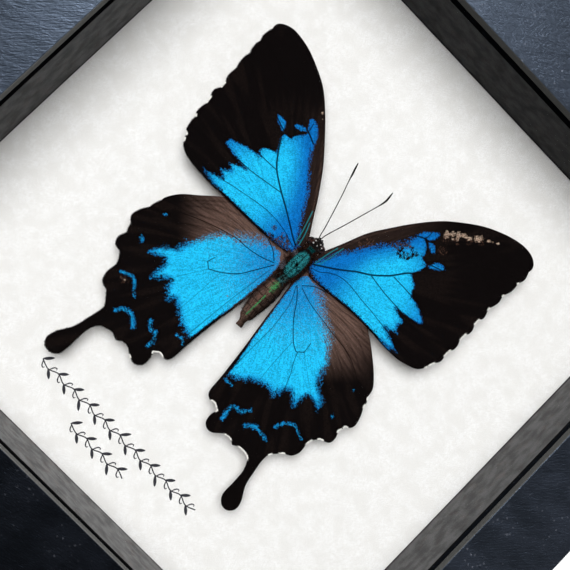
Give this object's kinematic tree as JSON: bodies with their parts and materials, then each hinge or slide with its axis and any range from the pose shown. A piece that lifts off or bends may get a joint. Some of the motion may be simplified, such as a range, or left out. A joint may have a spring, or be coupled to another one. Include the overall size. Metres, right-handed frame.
{
  "type": "framed butterfly specimen",
  "caption": "Swallowtail butterfly with black and blue wings, pinned spread over white paper in a deep square shadow-box frame with a glass front.",
  "frame": {"origin": "middle of the frame's rear plane, on which it lies", "axes": "+Z out of the glass front, +Y to the frame's top (the butterfly's head end), +X to the right as seen from the front"},
  "size_m": [0.226, 0.227, 0.04],
  "materials": {
    "rail_finish": "satin, embossed with a wavy grain",
    "glass": "clear, polished",
    "mount_paper": "matt, softly mottled",
    "foam_board": "matt",
    "hardboard": "matt, pressed fibre",
    "tab_steel": "satin",
    "hanger_steel": "satin, yellow plated",
    "nail_steel": "satin",
    "body_chitin": "matt, hairy",
    "antenna": "satin",
    "wing_scales": "satin, powdery scales in black and blue",
    "pin_steel": "black, polished"
  },
  "bodies": {
    "root": {"rail_top": "rail_finish", "rail_right": "rail_finish", "rail_bottom": "rail_finish", "rail_left": "rail_finish", "glass_pane": "glass", "mount_paper": "mount_paper", "mount_board": "foam_board", "back_panel": "hardboard", "framing_point_top_1": "tab_steel", "framing_point_top_2": "tab_steel", "framing_point_left_1": "tab_steel", "framing_point_left_2": "tab_steel", "framing_point_bottom_1": "tab_steel", "framing_point_bottom_2": "tab_steel", "framing_point_right_1": "tab_steel", "framing_point_right_2": "tab_steel", "hanger_strip": "hanger_steel", "hanger_nail_1": "nail_steel", "hanger_nail_2": "nail_steel", "body": "body_chitin", "antenna_left": "antenna", "antenna_right": "antenna", "forewing_left": "wing_scales", "forewing_right": "wing_scales", "hindwing_left": "wing_scales", "hindwing_right": "wing_scales", "pin": "pin_steel"}
  },
  "joints": []
}
